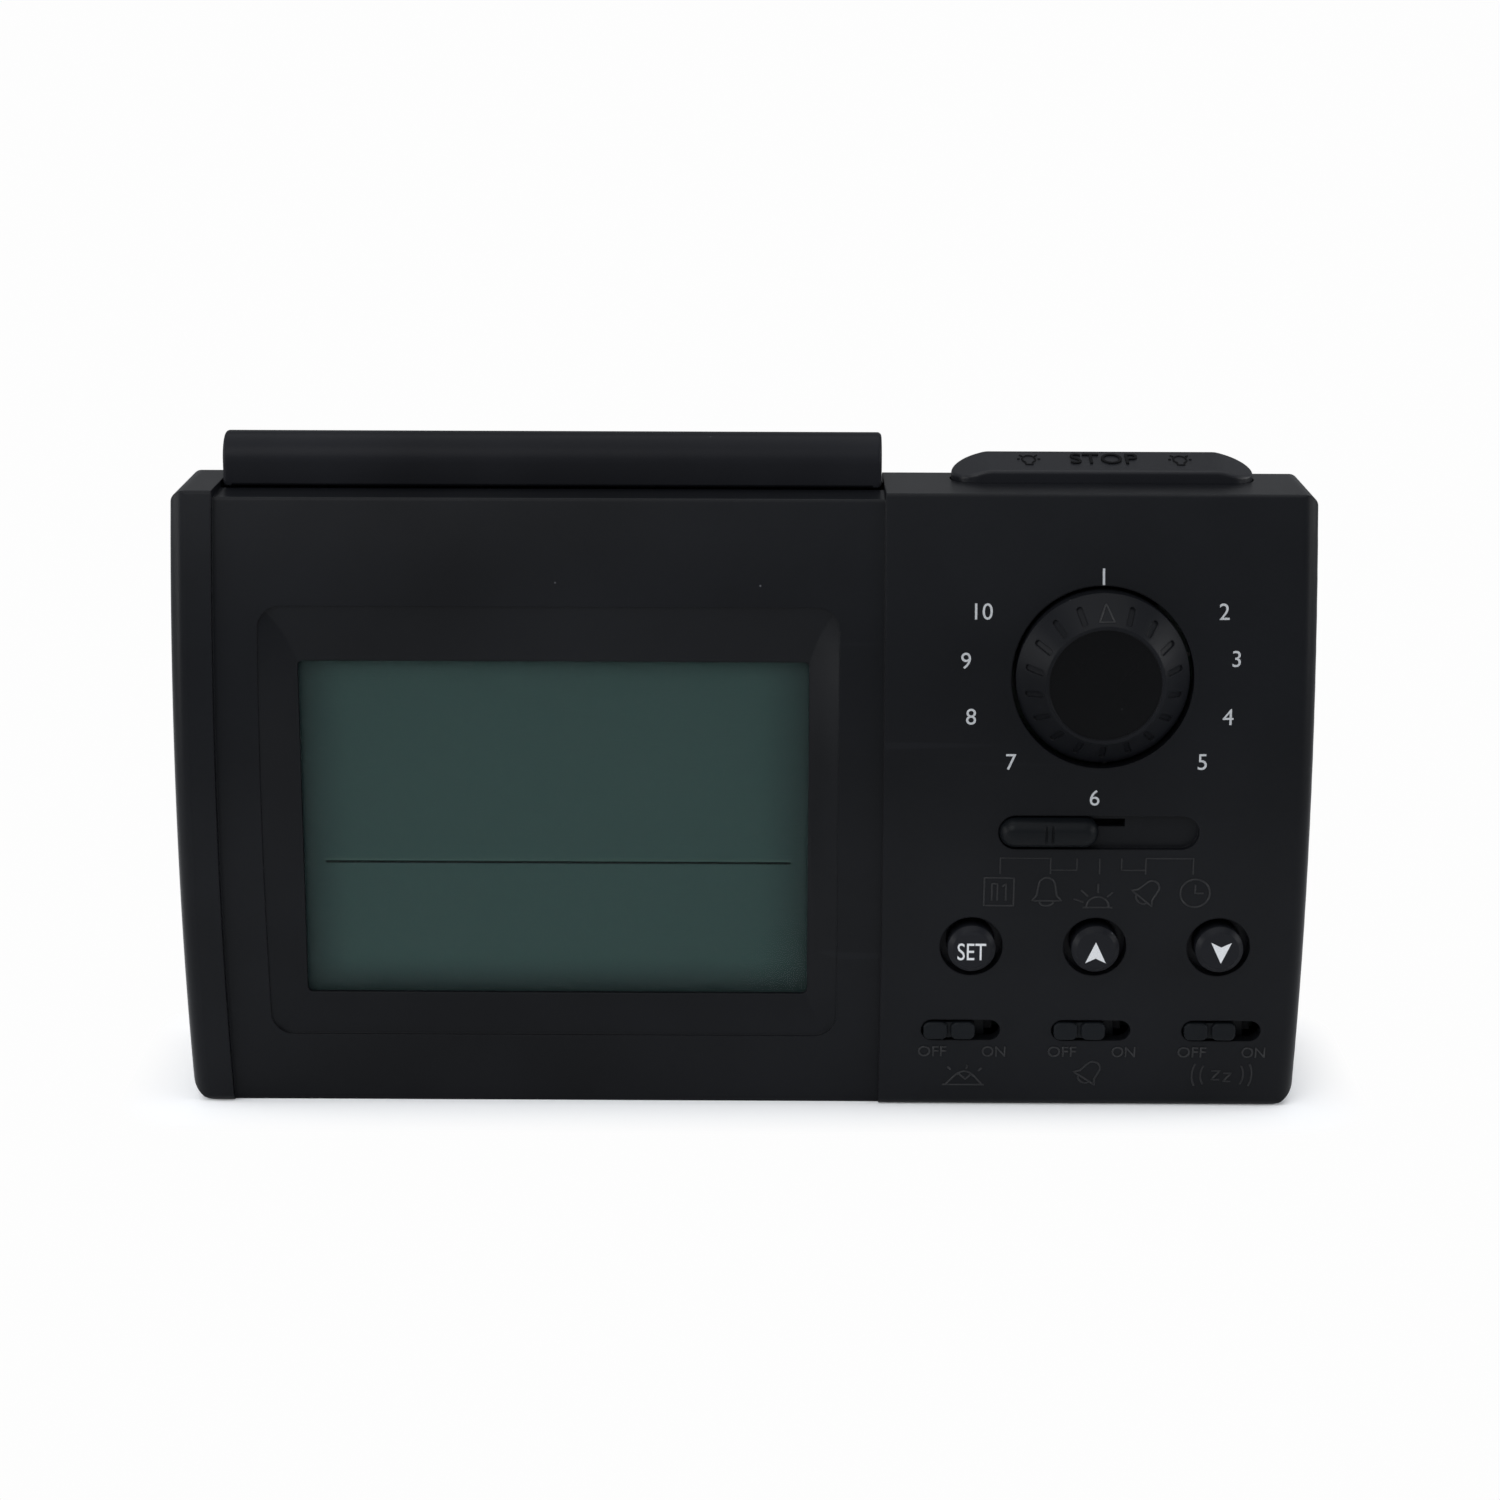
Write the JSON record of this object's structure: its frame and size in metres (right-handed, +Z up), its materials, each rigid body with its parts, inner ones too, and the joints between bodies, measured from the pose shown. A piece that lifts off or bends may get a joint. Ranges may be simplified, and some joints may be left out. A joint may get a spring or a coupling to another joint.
{
  "type": "prayer-time clock",
  "caption": "Low black desk clock with a sunk display, a selector dial, slide switches, push buttons, a long top button and a cover on the back that folds out as a stand.",
  "frame": {"origin": "middle of the clock's footprint, on the surface it stands on", "axes": "+X to the right as one faces the display, +Y from the face to the back, +Z up"},
  "size_m": [0.16, 0.0414, 0.0966],
  "materials": {
    "case_black": "fine satin",
    "cover_black": "smooth satin",
    "dial_black": "satin",
    "knob_black": "half gloss",
    "button_black": "half gloss",
    "lens_clear": "polished",
    "display_glass": "dark grey-green, no segments lit",
    "guide_white": "frosted",
    "holder_white": "moulded",
    "strip_rubber": "striped",
    "board_green": "solder mask",
    "chip_black": "moulded",
    "switch_black": "moulded",
    "socket_white": "moulded",
    "screw_steel": "zinc plated",
    "pin_steel": "drawn",
    "can_steel": "drawn can",
    "lamp_white": "clear",
    "cable_grey": "smooth",
    "wire_red": "smooth",
    "wire_black": "smooth",
    "speaker_steel": "pressed",
    "magnet_grey": "sintered",
    "cone_paper": "paper",
    "cell_wrap": "plain sleeve",
    "contact_nickel": "nickel plated"
  },
  "bodies": {
    "case": {"case_front": "case_black", "case_back": "case_black", "case_screws": "screw_steel", "hinge_pin": "pin_steel", "lcd_lens": "lens_clear", "lcd_panel": "display_glass", "lcd_backlight": "guide_white", "lcd_holder": "holder_white", "contact_strips": "strip_rubber", "main_board": "board_green", "main_board_screws": "screw_steel", "controller_chip": "chip_black", "sound_chip": "chip_black", "quartz_crystal": "can_steel", "backlight_leds": "lamp_white", "capacitors": "can_steel", "wire_sockets": "socket_white", "control_board": "board_green", "control_board_screws": "screw_steel", "ribbon_cable": "cable_grey", "ribbon_sockets": "socket_white", "rotary_switch": "switch_black", "mode_switch": "switch_black", "slide_switches": "switch_black", "tact_switches": "switch_black", "top_board": "board_green", "top_board_screws": "screw_steel", "top_switch": "switch_black", "speaker_frame": "speaker_steel", "speaker_magnet": "magnet_grey", "speaker_cone": "cone_paper", "speaker_wires": "wire_black", "battery_wires": "wire_red", "battery_cells": "cell_wrap", "battery_contacts": "contact_nickel", "battery_springs": "contact_nickel"},
    "stand": {"stand_cover": "cover_black"},
    "dial": {"selector_dial": "dial_black", "dial_shaft": "pin_steel"},
    "mode_slider": {"mode_slider": "knob_black"},
    "switch_left": {"switch_knob_left": "knob_black"},
    "switch_middle": {"switch_knob_middle": "knob_black"},
    "switch_right": {"switch_knob_right": "knob_black"},
    "set_button": {"set_button": "button_black"},
    "up_button": {"up_button": "button_black"},
    "down_button": {"down_button": "button_black"},
    "top_button": {"top_button": "button_black"},
    "battery_door": {"battery_door": "case_black"}
  },
  "joints": [
    {"name": "stand_hinge", "type": "hinge", "parent": "case", "child": "stand", "pos_m": [-0.02712, 0.0008, 0.0927], "axis": [1, 0, 0], "range_deg": [0, 32]},
    {"name": "dial_turn", "type": "hinge", "parent": "case", "child": "dial", "pos_m": [0.05005, -0.01732, 0.06495], "axis": [0, 1, 0], "range_deg": [0, 324]},
    {"name": "mode_slide", "type": "slide", "parent": "case", "child": "mode_slider", "axis": [1, 0, 0], "range_m": [0, 0.014]},
    {"name": "switch_left_slide", "type": "slide", "parent": "case", "child": "switch_left", "axis": [1, 0, 0], "range_m": [0, 0.00335]},
    {"name": "switch_middle_slide", "type": "slide", "parent": "case", "child": "switch_middle", "axis": [1, 0, 0], "range_m": [0, 0.00335]},
    {"name": "switch_right_slide", "type": "slide", "parent": "case", "child": "switch_right", "axis": [1, 0, 0], "range_m": [0, 0.00335]},
    {"name": "set_press", "type": "slide", "parent": "case", "child": "set_button", "axis": [0, 1, 0], "range_m": [0, 0.0008], "stiffness_N_per_m": 1500},
    {"name": "up_press", "type": "slide", "parent": "case", "child": "up_button", "axis": [0, 1, 0], "range_m": [0, 0.0008], "stiffness_N_per_m": 1500},
    {"name": "down_press", "type": "slide", "parent": "case", "child": "down_button", "axis": [0, 1, 0], "range_m": [0, 0.0008], "stiffness_N_per_m": 1500},
    {"name": "top_press", "type": "slide", "parent": "case", "child": "top_button", "axis": [0, 0, -1], "range_m": [0, 0.001], "stiffness_N_per_m": 1500},
    {"name": "door_hinge", "type": "hinge", "parent": "case", "child": "battery_door", "pos_m": [0.05005, 0.02068, 0.01], "axis": [-1, 0, 0], "range_deg": [0, 80]}
  ]
}
